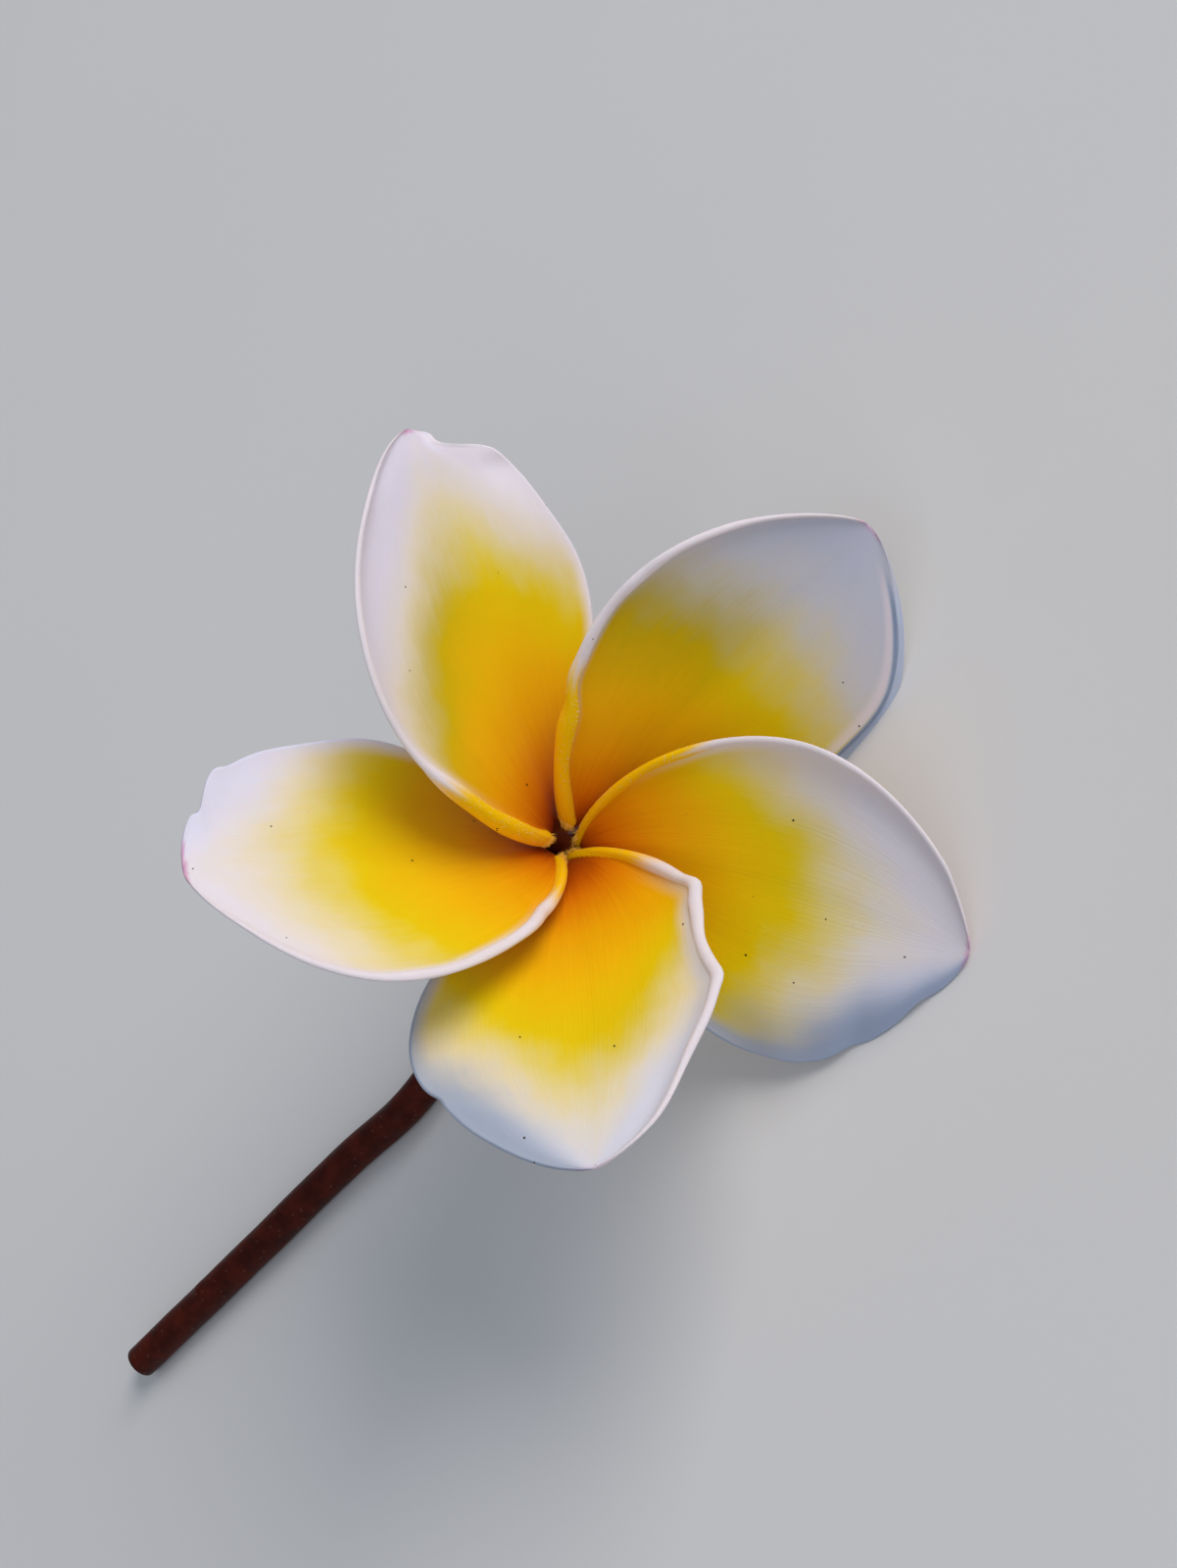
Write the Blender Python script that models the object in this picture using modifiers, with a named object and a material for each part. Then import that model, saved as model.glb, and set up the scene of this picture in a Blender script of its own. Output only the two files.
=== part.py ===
"""A frangipani flower, picked with its stalk and lying on a table.

The flower is made upright, looking along +Z with the throat at the origin, and is
then leaned over until two petals and the stalk touch the table. Lengths are in
metres, and the sizes below are in millimetres times MM.
"""

import math

import bmesh
import bpy
from mathutils import Matrix, Vector

MM = 0.001
NAME = "frangipani_flower"

# How the flower lies: its axis leans toward +X, from upright.
LEAN = 55.0
SPIN = 6.5

# What the five petals have in common. Angles are in degrees.
PETAL_SKIN = 0.5 * MM
MOUTH_RADIUS = 2.0 * MM
CLAW_HALF_WIDTH = 0.8 * MM
TIP_HALF_WIDTH = 0.35 * MM
WAIST_DEPTH = 0.5
WAIST_LENGTH = 0.10
WIDEST_LEFT = 0.55
WIDEST_RIGHT = 0.60
BASE_ELEVATION = 78.0
BASE_TWIST = 46.0
FLARE_LENGTH = 0.085
TWIST_LENGTH = 0.16
CUP = 12.0
CUPPED_EDGE = 28.0
ROWS = 27
BLADE = (-1.0, -0.86, -0.66, -0.36, 0.0, 0.36, 0.64, 0.82, 0.93, 1.0)
LIP_TURNS = (25.0, 55.0, 85.0)
LIP_SHARE = 0.08

# Each petal, named by where it points on the flower as it lies, for someone who stands
# behind it and looks the way the flower faces: top is away from the table, and the two
# front petals touch it. azimuth, rise, droop, sweep and twist are in degrees, the rest
# in millimetres, and left_full and right_full say how full the outline is.
PETALS = {
    "petal_left": dict(
        azimuth=121, length=47.5, rise=25, droop=-24, sweep=-7, twist=19,
        left=18.3, left_full=0.72, right=13.5, right_full=0.60, lips=(0.7, 0.3),
        dents=(("right", 0.90, 0.05, 0.7),),
    ),
    "petal_front_left": dict(
        azimuth=48, length=47.0, rise=34, droop=-14, sweep=-3, twist=25,
        left=16.0, left_full=0.75, right=16.0, right_full=0.65, lips=(0.9, 0.8),
        dents=(),
    ),
    "petal_front_right": dict(
        azimuth=-23, length=46.5, rise=33, droop=-20, sweep=-3, twist=31,
        left=16.0, left_full=0.70, right=17.0, right_full=0.80, lips=(0.6, 0.3),
        dents=(("right", 0.80, 0.04, 0.6),),
    ),
    "petal_right": dict(
        azimuth=-95, length=45.5, rise=34, droop=-17, sweep=-2, twist=25,
        left=15.0, left_full=0.70, right=17.5, right_full=0.65, lips=(1.1, 0.3),
        dents=(("left", 0.45, 0.06, -0.7),),
    ),
    "petal_top": dict(
        azimuth=-165, length=46.0, rise=21, droop=-18, sweep=-9, twist=17,
        left=15.5, left_full=0.70, right=14.5, right_full=0.50, lips=(0.9, 0.3),
        dents=(("right", 0.93, 0.04, 1.6),),
    ),
}

# The tube under the petals, and what stands inside it.
TUBE_TOP = -0.45 * MM
TUBE_BOTTOM = -17.5 * MM
TUBE_MOUTH_RADIUS = 2.15 * MM
TUBE_WAIST_RADIUS = 1.65 * MM
TUBE_FOOT_RADIUS = 1.85 * MM
TUBE_WALL = 0.45 * MM
STAMEN_COUNT = 5
STAMEN_RING = 0.87 * MM
STAMEN_RADIUS = 0.19 * MM
STAMEN_HEIGHT = 2.6 * MM
PISTIL_RADIUS = 0.32 * MM
PISTIL_HEIGHT = 2.2 * MM
GAP = 0.3 * MM

CALYX_LOBES = 5
CALYX_RADIUS = 2.65 * MM
CALYX_HEIGHT = 2.6 * MM
CALYX_LOBE_RISE = 0.5 * MM
CALYX_SKIN = 0.4 * MM

# The stalk's middle line on the table, past the bend behind the calyx.
STALK_RADIUS = 2.05 * MM
STALK_NECK = 0.66
NECK_LENGTH = 4.0 * MM
STALK_ROUTE = (
    (-22.5, -10.5),
    (-30.0, -21.9),
    (-43.3, -31.4),
    (-59.0, -42.8),
    (-75.5, -54.6),
)

ROUND_STEPS = 24


def clear_scene():
    for old in list(bpy.data.objects):
        bpy.data.objects.remove(old, do_unlink=True)


def material(name, colour, roughness):
    made = bpy.data.materials.new(name)
    made.use_nodes = True
    shader = made.node_tree.nodes["Principled BSDF"]
    shader.inputs["Base Color"].default_value = (*colour, 1.0)
    shader.inputs["Roughness"].default_value = roughness
    return made


def new_object(name, mesh, collection, finish):
    obj = bpy.data.objects.new(name, mesh)
    collection.objects.link(obj)
    mesh.materials.append(finish)
    mesh.shade_smooth()
    return obj


def smoothstep(value):
    value = min(max(value, 0.0), 1.0)
    return value * value * (3.0 - 2.0 * value)


def running_sum(steps):
    """Each value's total so far, by the trapezium rule, starting from nought."""
    total = 0.0
    sums = [0.0]
    for before, after in zip(steps, steps[1:]):
        total += 0.5 * (before + after)
        sums.append(total)
    return sums


def midrib(petal):
    """The petal's middle line, as one frame per row: point, side and normal."""
    along = [row / (ROWS - 1) for row in range(ROWS)]
    step = petal["length"] * MM / (ROWS - 1)
    rises = []
    for u in along:
        blade = petal["rise"] + petal["droop"] * (u - 0.5)
        flare = (BASE_ELEVATION - petal["rise"]) * math.exp(-u / FLARE_LENGTH)
        rises.append(math.radians(blade + flare))
    turns = [math.radians(petal["sweep"] * u) for u in along]
    outward = [math.cos(e) * math.cos(t) * step for e, t in zip(rises, turns)]
    sideways = [math.cos(e) * math.sin(t) * step for e, t in zip(rises, turns)]
    upward = [math.sin(e) * step for e in rises]
    points = zip(running_sum(outward), running_sum(sideways), running_sum(upward))
    frames = []
    for point, rise, turn in zip(points, rises, turns):
        level = math.cos(rise)
        ahead = Vector((level * math.cos(turn), level * math.sin(turn), math.sin(rise)))
        side = Vector((-math.sin(turn), math.cos(turn), 0.0))
        origin = Vector(point) + Vector((MOUTH_RADIUS, 0.0, 0.0))
        frames.append((origin, side, ahead.cross(side)))
    return frames


def half_width(petal, side, u):
    """How wide one half of the blade is, u of the way from claw to tip."""
    widest = WIDEST_LEFT if side == "left" else WIDEST_RIGHT
    bow = math.sin(math.pi * u ** (math.log(0.5) / math.log(widest))) if u > 0.0 else 0.0
    waist = 1.0 - WAIST_DEPTH * math.exp(-u / WAIST_LENGTH)
    width = petal[side] * MM * waist * max(bow, 0.0) ** petal[side + "_full"]
    width += CLAW_HALF_WIDTH * (1.0 - u) ** 6 + TIP_HALF_WIDTH * u**6
    for dent_side, where, spread, depth in petal["dents"]:
        if dent_side == side:
            width -= depth * MM * math.exp(-(((u - where) / spread) ** 2))
    return width


def cross_section(petal, u):
    """The blade's section at u, right edge to left edge, as (across, up) points."""
    left = half_width(petal, "left", u)
    right = half_width(petal, "right", u)
    twist = petal["twist"] + (BASE_TWIST - petal["twist"]) * math.exp(-u / TWIST_LENGTH)
    places = [v * (left if v > 0.0 else right) for v in BLADE]
    tilts = []
    for v in BLADE:
        cupped = CUP * v * smoothstep(u / 0.3) + CUPPED_EDGE * smoothstep((v - 0.7) / 0.3)
        tilts.append(math.radians(twist + cupped))
    middle = BLADE.index(0.0)
    section = [(0.0, 0.0)] * len(BLADE)
    for direction in (1, -1):
        end = len(BLADE) if direction > 0 else -1
        for i in range(middle + direction, end, direction):
            tilt = 0.5 * (tilts[i] + tilts[i - direction])
            run = places[i] - places[i - direction]
            across, up = section[i - direction]
            section[i] = (across + run * math.cos(tilt), up + run * math.sin(tilt))
    left_lip, right_lip = petal["lips"]
    section = add_lip(section, tilts[-1], left_lip * MM, left, 1)
    section = add_lip(section[::-1], tilts[0], right_lip * MM, right, -1)[::-1]
    return section


def add_lip(section, tilt, width, blade_width, sign):
    """Rolls the edge at the end of the section back, away from the flower's face."""
    step = min(width, LIP_SHARE * blade_width) / len(LIP_TURNS)
    longer = list(section)
    for turn in LIP_TURNS:
        angle = tilt - sign * math.radians(turn)
        across, up = longer[-1]
        longer.append((
            across + sign * step * math.cos(angle),
            up + sign * step * math.sin(angle),
        ))
    return longer


def make_petal(name, petal, collection, finish):
    """A sheet lofted along the midrib, then given its thickness by Solidify."""
    mesh = bpy.data.meshes.new(name)
    sheet = bmesh.new()
    spin = Matrix.Rotation(math.radians(petal["azimuth"]), 3, "Z")
    rows = []
    for row, (point, side, normal) in enumerate(midrib(petal)):
        section = cross_section(petal, row / (ROWS - 1))
        placed = [point + side * across + normal * up for across, up in section]
        rows.append([sheet.verts.new(spin @ place) for place in placed])
    for low, high in zip(rows, rows[1:]):
        for i in range(len(low) - 1):
            sheet.faces.new((low[i], high[i], high[i + 1], low[i + 1]))
    sheet.normal_update()
    sheet.to_mesh(mesh)
    sheet.free()
    obj = new_object(name, mesh, collection, finish)
    skin = obj.modifiers.new("skin", "SOLIDIFY")
    skin.thickness = PETAL_SKIN
    skin.offset = 0.0
    return obj


def turned(name, profile, collection, finish, steps=ROUND_STEPS):
    """Turns (radius, height) points about Z. The first and last lie on the axis."""
    mesh = bpy.data.meshes.new(name)
    points = [(radius, 0.0, height) for radius, height in profile]
    edges = [(i, i + 1) for i in range(len(points) - 1)]
    mesh.from_pydata(points, edges, [])
    obj = new_object(name, mesh, collection, finish)
    screw = obj.modifiers.new("turn", "SCREW")
    screw.steps = steps
    screw.render_steps = steps
    screw.use_merge_vertices = True
    screw.merge_threshold = 0.00001
    screw.use_normal_flip = True
    screw.use_smooth_shade = True
    return obj


def make_tube(collection, finish):
    height = TUBE_TOP - TUBE_BOTTOM
    outer = []
    for i in range(7):
        up = i / 6
        radius = TUBE_FOOT_RADIUS + (TUBE_WAIST_RADIUS - TUBE_FOOT_RADIUS) * smoothstep(up / 0.5)
        radius += (TUBE_MOUTH_RADIUS - TUBE_WAIST_RADIUS) * smoothstep((up - 0.55) / 0.45)
        outer.append((radius, TUBE_BOTTOM + height * up))
    inner = [(radius - TUBE_WALL, max(z, TUBE_BOTTOM + TUBE_WALL)) for radius, z in outer]
    profile = [(0.0, TUBE_BOTTOM), *outer, *inner[::-1], (0.0, TUBE_BOTTOM + TUBE_WALL)]
    return turned("corolla_tube", profile, collection, finish)


def make_pistil(collection, finish):
    base = TUBE_BOTTOM + TUBE_WALL + GAP
    top = base + PISTIL_HEIGHT
    profile = (
        (0.0, base),
        (PISTIL_RADIUS, base),
        (PISTIL_RADIUS, base + 0.45 * PISTIL_HEIGHT),
        (0.6 * PISTIL_RADIUS, base + 0.6 * PISTIL_HEIGHT),
        (0.95 * PISTIL_RADIUS, top - 0.2 * PISTIL_HEIGHT),
        (0.0, top),
    )
    return turned("pistil", profile, collection, finish, 12)


def make_stamen(number, collection, finish):
    base = TUBE_BOTTOM + TUBE_WALL + GAP
    profile = (
        (0.0, base),
        (0.5 * STAMEN_RADIUS, base),
        (0.5 * STAMEN_RADIUS, base + 0.4 * STAMEN_HEIGHT),
        (STAMEN_RADIUS, base + 0.5 * STAMEN_HEIGHT),
        (0.9 * STAMEN_RADIUS, base + 0.8 * STAMEN_HEIGHT),
        (0.0, base + STAMEN_HEIGHT),
    )
    obj = turned(f"stamen_{number}", profile, collection, finish, 8)
    angle = 2.0 * math.pi * (number - 1) / STAMEN_COUNT
    place = (STAMEN_RING * math.cos(angle), STAMEN_RING * math.sin(angle), 0.0)
    obj.matrix_world = Matrix.Translation(place)
    return obj


def make_calyx(collection, finish):
    """A cup with five low lobes, open upward around the foot of the tube."""
    floor = TUBE_BOTTOM - GAP - CALYX_SKIN
    shape = ((0.4, 0.0), (0.86, 0.01), (1.0, 0.14), (1.03, 0.5), (0.98, 1.0))
    count = 6 * CALYX_LOBES
    mesh = bpy.data.meshes.new("calyx")
    cup = bmesh.new()
    rings = []
    for wide, up in shape:
        ring = []
        for i in range(count):
            angle = 2.0 * math.pi * i / count
            lobe = CALYX_LOBE_RISE * up**3 * math.cos(CALYX_LOBES * angle)
            radius = CALYX_RADIUS * wide
            ring.append(cup.verts.new((
                radius * math.cos(angle),
                radius * math.sin(angle),
                floor + CALYX_HEIGHT * up + lobe,
            )))
        rings.append(ring)
    cup.faces.new(rings[0][::-1])
    for low, high in zip(rings, rings[1:]):
        for i in range(count):
            after = (i + 1) % count
            cup.faces.new((low[i], low[after], high[after], high[i]))
    cup.normal_update()
    cup.to_mesh(mesh)
    cup.free()
    obj = new_object("calyx", mesh, collection, finish)
    skin = obj.modifiers.new("skin", "SOLIDIFY")
    skin.thickness = CALYX_SKIN
    skin.offset = -1.0
    return obj


def make_stalk(start, heading, collection, finish):
    """A round stem from the calyx down to the table, and on along it."""
    curve = bpy.data.curves.new("flower_stalk", "CURVE")
    curve.dimensions = "3D"
    curve.resolution_u = 7
    curve.bevel_depth = STALK_RADIUS
    curve.bevel_resolution = 3
    curve.use_fill_caps = True
    spline = curve.splines.new("BEZIER")
    spline.bezier_points.add(len(STALK_ROUTE))
    route = [Vector((x * MM, y * MM, STALK_RADIUS)) for x, y in STALK_ROUTE]
    for point, place in zip(spline.bezier_points, [start, *route]):
        point.co = place
        point.handle_left_type = "AUTO"
        point.handle_right_type = "AUTO"
        point.radius = 1.0
    first = spline.bezier_points[0]
    first.handle_left_type = "FREE"
    first.handle_right_type = "FREE"
    first.handle_left = start - heading * NECK_LENGTH
    first.handle_right = start + heading * NECK_LENGTH
    first.radius = STALK_NECK
    for point in spline.bezier_points[1:]:
        point.handle_left_type = "FREE"
        point.handle_right_type = "FREE"
        point.handle_left.z = STALK_RADIUS
        point.handle_right.z = STALK_RADIUS
    obj = bpy.data.objects.new("flower_stalk", curve)
    collection.objects.link(obj)
    curve.materials.append(finish)
    return obj


def corners_of(objects):
    """Every evaluated point of these objects, in world space."""
    bpy.context.view_layer.update()
    graph = bpy.context.evaluated_depsgraph_get()
    points = []
    for obj in objects:
        evaluated = obj.evaluated_get(graph)
        mesh = evaluated.to_mesh()
        points += [evaluated.matrix_world @ vertex.co for vertex in mesh.vertices]
        evaluated.to_mesh_clear()
    return points


def lay_down(objects):
    """Leans the upright flower over and sets it down with its lowest point at z = 0."""
    pose = Matrix.Rotation(math.radians(LEAN), 4, "Y") @ Matrix.Rotation(math.radians(SPIN), 4, "Z")
    for obj in objects:
        obj.matrix_world = pose @ obj.matrix_world
    drop = min(point.z for point in corners_of(objects))
    lift = Matrix.Translation((0.0, 0.0, -drop))
    for obj in objects:
        obj.matrix_world = lift @ obj.matrix_world
    return lift @ pose


def centre(objects):
    """Moves everything so that the origin is the middle of the footprint."""
    points = corners_of(objects)
    low_x, high_x = min(p.x for p in points), max(p.x for p in points)
    low_y, high_y = min(p.y for p in points), max(p.y for p in points)
    low_z = min(p.z for p in points)
    shift = Vector((-0.5 * (low_x + high_x), -0.5 * (low_y + high_y), -low_z))
    for obj in objects:
        obj.matrix_world = Matrix.Translation(shift) @ obj.matrix_world


def main():
    clear_scene()
    collection = bpy.data.collections.new(NAME)
    bpy.context.scene.collection.children.link(collection)
    pieces = []
    for name, petal in PETALS.items():
        finish = material(name, (0.85, 0.78, 0.62), 0.5)
        pieces.append(make_petal(name, petal, collection, finish))
    pieces.append(make_tube(collection, material("corolla_tube", (0.85, 0.7, 0.4), 0.5)))
    pieces.append(make_pistil(collection, material("pistil", (0.6, 0.65, 0.3), 0.6)))
    for number in range(1, STAMEN_COUNT + 1):
        finish = material(f"stamen_{number}", (0.8, 0.65, 0.25), 0.6)
        pieces.append(make_stamen(number, collection, finish))
    pieces.append(make_calyx(collection, material("calyx", (0.2, 0.3, 0.08), 0.55)))
    pose = lay_down(pieces)
    foot = pose @ Vector((0.0, 0.0, TUBE_BOTTOM - GAP - CALYX_SKIN - GAP))
    heading = (pose.to_3x3() @ Vector((0.0, 0.0, -1.0))).normalized()
    stalk_finish = material("flower_stalk", (0.15, 0.03, 0.03), 0.5)
    pieces.append(make_stalk(foot, heading, collection, stalk_finish))
    centre(pieces)


main()
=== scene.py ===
# %% [markdown]
# # A frangipani flower, picked and laid on a table
#
# The finished flower is built over its solid model, which arrives as the *frame*.
# Every petal here is drawn again at fine resolution, with rolled edges, veins and
# fuzz, and takes the place of the plain solid that the frame holds.

# %% Load the solid model
import math
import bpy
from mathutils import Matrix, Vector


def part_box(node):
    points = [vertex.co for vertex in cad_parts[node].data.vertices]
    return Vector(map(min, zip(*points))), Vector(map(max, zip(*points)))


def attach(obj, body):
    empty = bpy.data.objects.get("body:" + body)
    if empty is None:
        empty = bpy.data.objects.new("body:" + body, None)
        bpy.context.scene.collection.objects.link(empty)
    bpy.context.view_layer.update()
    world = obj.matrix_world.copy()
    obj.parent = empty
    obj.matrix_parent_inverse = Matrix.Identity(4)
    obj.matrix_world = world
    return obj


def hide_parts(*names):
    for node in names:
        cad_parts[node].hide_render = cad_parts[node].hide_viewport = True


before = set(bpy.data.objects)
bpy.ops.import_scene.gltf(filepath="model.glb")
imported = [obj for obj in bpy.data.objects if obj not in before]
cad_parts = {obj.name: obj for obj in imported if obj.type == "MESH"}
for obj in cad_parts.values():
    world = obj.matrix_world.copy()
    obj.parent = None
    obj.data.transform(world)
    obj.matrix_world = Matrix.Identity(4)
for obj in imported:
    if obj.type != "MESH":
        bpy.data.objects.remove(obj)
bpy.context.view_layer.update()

from types import SimpleNamespace

import bpy
import numpy as np
from mathutils import Matrix, Vector

MM = 0.001

# %% [markdown]
# ## How the flower lies
#
# The flower was drawn looking straight up with its throat at the origin, then leaned
# over onto two petals and its stalk. The same two turns are repeated here. The throat's
# place is read off the tube's box: a turned shape leaned over by a known angle has
# known corners, so no measuring by eye is needed.

# %% The pose, and where the throat is
LEAN = math.radians(55.0)
SPIN = math.radians(6.5)
turned_over = Matrix.Rotation(LEAN, 3, "Y") @ Matrix.Rotation(SPIN, 3, "Z")

TUBE_TOP = -0.45
TUBE_BOTTOM = -17.5
TUBE_MOUTH_RADIUS = 2.15
TUBE_WAIST_RADIUS = 1.65
TUBE_FOOT_RADIUS = 1.85
SOLID_TUBE_STEPS = 6


def smoothstep(value):
    value = np.clip(value, 0.0, 1.0)
    return value * value * (3.0 - 2.0 * value)


def tube_radius(share):
    """The tube's outer radius, from its foot (0) to its mouth (1)."""
    foot_part = (TUBE_WAIST_RADIUS - TUBE_FOOT_RADIUS) * smoothstep(share / 0.5)
    mouth_part = (TUBE_MOUTH_RADIUS - TUBE_WAIST_RADIUS) * smoothstep((share - 0.55) / 0.45)
    return TUBE_FOOT_RADIUS + foot_part + mouth_part


steps = np.arange(SOLID_TUBE_STEPS + 1) / SOLID_TUBE_STEPS
radii = tube_radius(steps)
heights = TUBE_BOTTOM + (TUBE_TOP - TUBE_BOTTOM) * steps
low, high = (np.array(corner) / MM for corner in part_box("corolla_tube"))
throat = np.array([
    low[0] - np.min(heights * math.sin(LEAN) - radii * math.cos(LEAN)),
    0.5 * (low[1] + high[1]),
    low[2] - np.min(heights * math.cos(LEAN) - radii * math.sin(LEAN)),
])
turn = np.array(turned_over)
print("throat at", throat.round(2), "mm")

# %% [markdown]
# Everything is worked out in millimetres on the upright flower, and one function lays
# the points down. A real petal's edge gives a little where it bears on the table, so
# the lowest 0.3 mm is squeezed: a rolled edge lies on the surface and not in it.

# %% From the upright flower to the table
PRESSED = 0.3


def place(points):
    """Millimetre points of the upright flower, as metres in the frame."""
    laid = points @ turn.T + throat
    height = laid[..., 2]
    squeezed = PRESSED * np.exp(np.minimum(height / PRESSED - 1.0, 0.0))
    laid[..., 2] = np.where(height < PRESSED, squeezed, height)
    return laid * MM


# %% [markdown]
# ## The camera
#
# It comes early, because the petals were shaped to be seen from here. The eye looks
# nearly down the flower's axis, from about 280 mm away, so the petals keep the slight
# perspective of a close view.

# %% Camera
VIEW_TILT = math.radians(18.0)
VIEW_TOWARD = math.radians(45.0)
EYE_DISTANCE = 282.0
AIM_RIGHT = 2.98
AIM_UP = 6.81
LENS = 60.6
SENSOR_WIDTH = 36.0
NEAREST_SEEN = 0.01

tilt_axis = Vector((-math.sin(VIEW_TOWARD), math.cos(VIEW_TOWARD), 0.0))
to_eye = np.array(turned_over @ Matrix.Rotation(VIEW_TILT, 3, tilt_axis).transposed())
right, up, back = to_eye[:, 0], to_eye[:, 1], to_eye[:, 2]
eye = throat + EYE_DISTANCE * back
aim = throat + AIM_RIGHT * right + AIM_UP * up
look = Vector(eye - aim).normalized()
sideways = Vector(up).cross(look).normalized()
camera_data = bpy.data.cameras.new("camera")
camera_data.lens = LENS
camera_data.sensor_width = SENSOR_WIDTH
camera_data.clip_start = NEAREST_SEEN
camera = bpy.data.objects.new("camera", camera_data)
axes = Matrix((sideways, look.cross(sideways), look)).transposed()
camera.matrix_world = Matrix.Translation(Vector(eye) * MM) @ axes.to_4x4()
bpy.context.scene.collection.objects.link(camera)
bpy.context.scene.camera = camera
print("eye at", eye.round(1), "mm, looking", round(math.degrees(math.asin(look.z)), 1), "deg down")

# %% [markdown]
# ## The petals' shape
#
# A frangipani petal is a fleshy blade that rises steeply out of the throat and then
# flares outward. It is twisted like a propeller, so that its left edge lies over the
# next petal, and that edge rolls back. It could be sculpted, but five petals that fit
# round one throat are easier to keep apart when each is a formula: a midrib that bends,
# and a section that curls. These are the solids' numbers, with the real edges' small
# dents, waves and kinks added.

# %% Petal measures, in millimetres and degrees
# azimuth: the way it points; rise and droop: its slope, and how that changes toward the
# tip; sweep: how far it curves; twist: its lean across; left and right: the half widths
# and how full they are; lips: the rolled or folded margins; dents: edge, place, spread
# and depth; waves: the same for a kink's lift; finger and rim: the left cord's radius by
# the throat and further out; starts: where it begins; hook: the tip's bend; right_turn:
# how far the right half turns up; right_fold: the fold's share of it, and its angle.
PETALS = {
    "petal_left": dict(
        azimuth=121, length=48.0, rise=25, droop=-24, sweep=-7, twist=19,
        left=18.3, left_full=0.72, right=13.5, right_full=0.60, lips=(0.7, 0.3),
        dents=(
            ("right", 0.955, 0.030, 2.9), ("right", 0.995, 0.015, 0.8), ("right", 0.74, 0.13, 1.0),
            ("left", 0.0, 0.05, 0.5), ("right", 0.07, 0.05, -1.0),
        ),
        waves=(("left", 0.93, 0.04, -0.5), ("right", 0.90, 0.03, 0.5)),
        finger=1.35, starts=0.062, rim=0.40, hook=-14.0, right_turn=0.0, right_fold=(0.08, 70.0),
    ),
    "petal_front_left": dict(
        azimuth=48, length=47.0, rise=34, droop=-14, sweep=-3, twist=25,
        left=16.0, left_full=0.75, right=16.0, right_full=0.65, lips=(0.9, 2.4),
        dents=(
            ("left", 0.30, 0.03, 0.35), ("left", 0.36, 0.03, -0.25), ("left", 0.0, 0.05, 0.5),
            ("right", 0.60, 0.12, 0.9),
        ),
        waves=(("left", 0.45, 0.06, 0.35), ("left", 0.62, 0.03, -0.2)),
        finger=1.2, starts=0.048, rim=0.62, hook=0.0, right_turn=0.0, right_fold=(0.17, 62.0),
    ),
    "petal_front_right": dict(
        azimuth=-23, length=46.5, rise=33, droop=-20, sweep=-3, twist=31,
        left=16.0, left_full=0.70, right=17.6, right_full=0.80, lips=(0.6, 0.3),
        dents=(("right", 0.80, 0.03, 0.7), ("right", 0.93, 0.025, 0.6), ("left", 0.0, 0.05, 0.4)),
        waves=(("right", 0.62, 0.06, 0.6), ("right", 0.82, 0.04, -0.7), ("right", 0.92, 0.02, 0.4)),
        finger=0.66, starts=0.024, rim=0.40, hook=8.0, right_turn=38.0, right_fold=(0.08, 70.0),
    ),
    "petal_right": dict(
        azimuth=-95, length=45.5, rise=34, droop=-17, sweep=-2, twist=25,
        left=15.0, left_full=0.70, right=17.5, right_full=0.65, lips=(1.1, 0.3),
        dents=(
            ("left", 0.345, 0.025, -0.45), ("left", 0.60, 0.03, -0.4), ("left", 0.60, 0.16, 1.3),
            ("right", 0.78, 0.02, 0.4), ("left", 0.0, 0.05, 0.4), ("left", 0.48, 0.09, 1.5),
            ("left", 0.79, 0.12, 1.7),
        ),
        waves=(("left", 0.345, 0.03, 0.5), ("right", 0.80, 0.05, 0.6)),
        finger=0.85, starts=0.028, rim=0.66, hook=6.0, right_turn=14.0, right_fold=(0.08, 70.0),
    ),
    "petal_top": dict(
        azimuth=-165, length=46.0, rise=21, droop=-18, sweep=-9, twist=17,
        left=15.5, left_full=0.70, right=14.5, right_full=0.50, lips=(0.9, 0.3),
        dents=(
            ("right", 0.66, 0.16, 1.3), ("right", 0.90, 0.03, -0.9), ("right", 0.945, 0.016, 1.2),
            ("left", 0.0, 0.05, 0.4), ("left", 0.45, 0.18, 1.0),
        ),
        waves=(("left", 0.30, 0.04, 0.4), ("right", 0.90, 0.04, 0.5), ("left", 0.24, 0.02, -0.3)),
        finger=0.82, starts=0.050, rim=0.56, hook=-6.0, right_turn=0.0, right_fold=(0.08, 70.0),
    ),
}
print("petal lengths:", [petal["length"] for petal in PETALS.values()], "mm")

# %% [markdown]
# The midrib is followed in small steps, which are closest at the throat and the tip,
# where the shape changes fastest. At each step the elevation and the heading are known,
# so the position is a running sum.

# %% The midrib
ROWS = 165
CROWDING = 0.62
MOUTH_RADIUS = 2.0
BASE_ELEVATION = 78.0
FLARE_LENGTH = 0.085
row_share = np.linspace(0.0, 1.0, ROWS)
along = row_share - CROWDING * np.sin(2.0 * math.pi * row_share) / (2.0 * math.pi)


def running_sum(rates, places):
    parts = 0.5 * (rates[1:] + rates[:-1]) * np.diff(places)
    return np.concatenate([[0.0], np.cumsum(parts)])


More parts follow.
